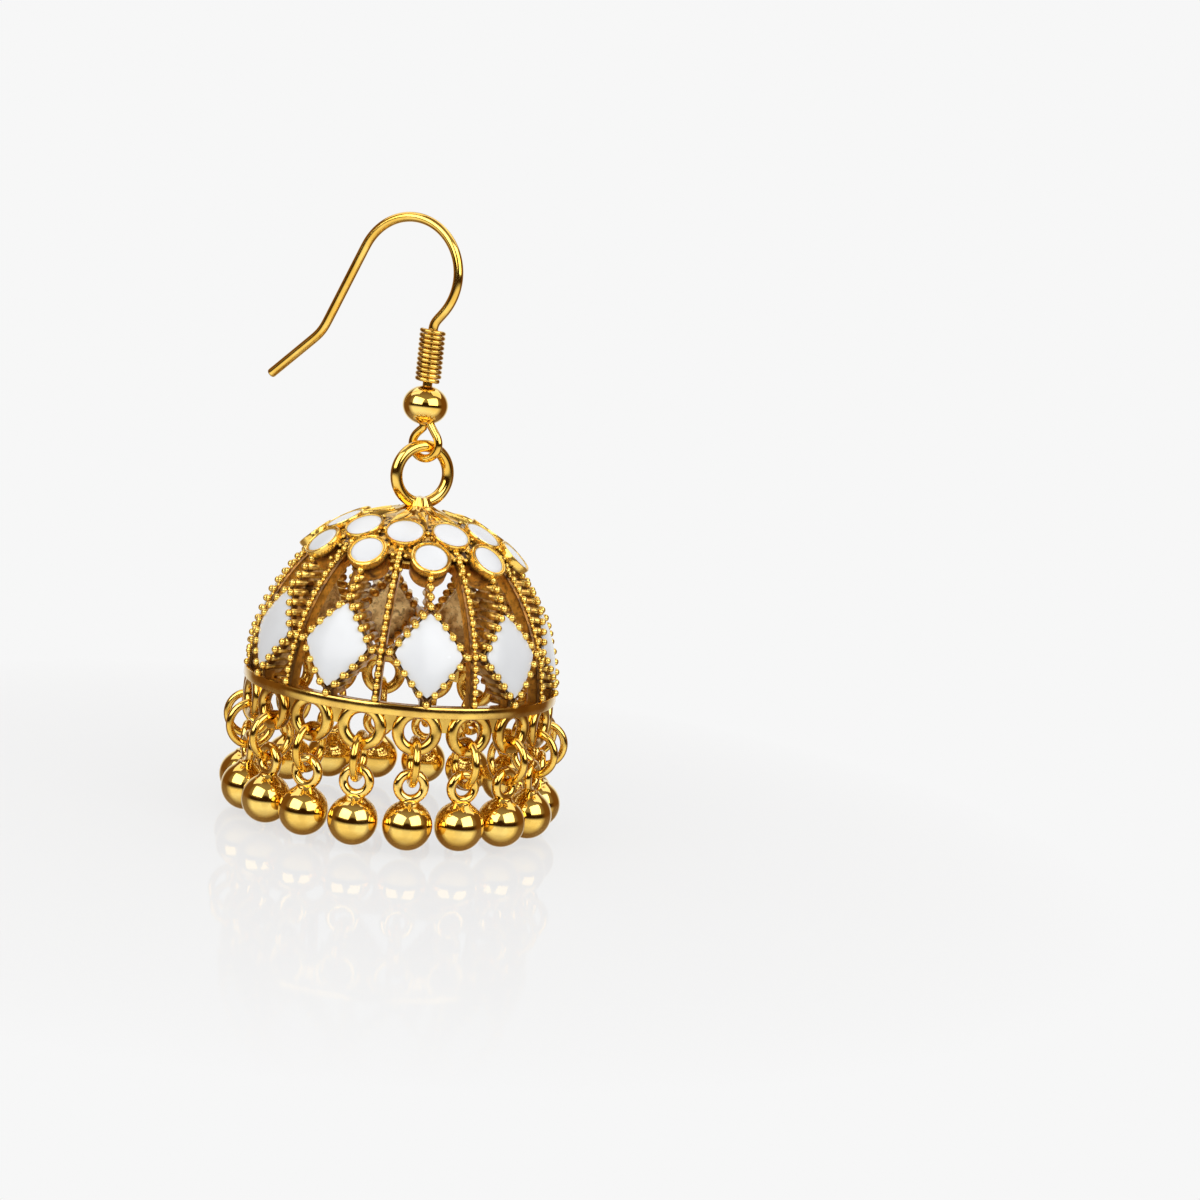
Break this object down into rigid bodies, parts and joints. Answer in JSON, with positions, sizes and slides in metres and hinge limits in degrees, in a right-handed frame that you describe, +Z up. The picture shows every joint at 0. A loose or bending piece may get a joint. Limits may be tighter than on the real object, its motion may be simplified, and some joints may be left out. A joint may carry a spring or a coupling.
{
  "type": "bell drop earring",
  "caption": "Hooked drop earring: an openwork enamelled bell hangs from an ear wire by a bail ring and carries a fringe of small balls on jump rings.",
  "frame": {"origin": "inside top of the ear wire's arch, where the earring hangs", "axes": "+Z up, the ear wire in the XZ plane with its free tail towards -X, the bell straight below its bail ring"},
  "size_m": [0.0322, 0.031, 0.0535],
  "materials": {
    "antique_gold": "polished cast metal, gold plated, darkened in its recesses",
    "gold_wire": "polished gold-plated wire",
    "white_enamel": "glossy white enamel"
  },
  "bodies": {
    "ear_hook": {"ear_wire": "gold_wire", "wire_coil": "gold_wire", "hook_bead": "antique_gold"},
    "bell_drop": {"bell": "antique_gold", "enamel_diamond_01": "white_enamel", "enamel_diamond_02": "white_enamel", "enamel_diamond_03": "white_enamel", "enamel_diamond_04": "white_enamel", "enamel_diamond_05": "white_enamel", "enamel_diamond_06": "white_enamel", "enamel_diamond_07": "white_enamel", "enamel_diamond_08": "white_enamel", "enamel_diamond_09": "white_enamel", "enamel_diamond_10": "white_enamel", "jump_ring_01": "gold_wire", "jump_ring_02": "gold_wire", "jump_ring_03": "gold_wire", "jump_ring_04": "gold_wire", "jump_ring_05": "gold_wire", "jump_ring_06": "gold_wire", "jump_ring_07": "gold_wire", "jump_ring_08": "gold_wire", "jump_ring_09": "gold_wire", "jump_ring_10": "gold_wire", "jump_ring_11": "gold_wire", "jump_ring_12": "gold_wire", "jump_ring_13": "gold_wire", "jump_ring_14": "gold_wire", "jump_ring_15": "gold_wire", "jump_ring_16": "gold_wire", "jump_ring_17": "gold_wire", "jump_ring_18": "gold_wire", "ball_drop_01": "antique_gold", "ball_drop_02": "antique_gold", "ball_drop_03": "antique_gold", "ball_drop_04": "antique_gold", "ball_drop_05": "antique_gold", "ball_drop_06": "antique_gold", "ball_drop_07": "antique_gold", "ball_drop_08": "antique_gold", "ball_drop_09": "antique_gold", "ball_drop_10": "antique_gold", "ball_drop_11": "antique_gold", "ball_drop_12": "antique_gold", "ball_drop_13": "antique_gold", "ball_drop_14": "antique_gold", "ball_drop_15": "antique_gold", "ball_drop_16": "antique_gold", "ball_drop_17": "antique_gold", "ball_drop_18": "antique_gold"}
  },
  "joints": [
    {"name": "bell_swing", "type": "hinge", "parent": "ear_hook", "child": "bell_drop", "pos_m": [0.0034, 0, -0.02201], "axis": [0.8192, -0.5736, 0], "range_deg": [-60, 60]}
  ]
}
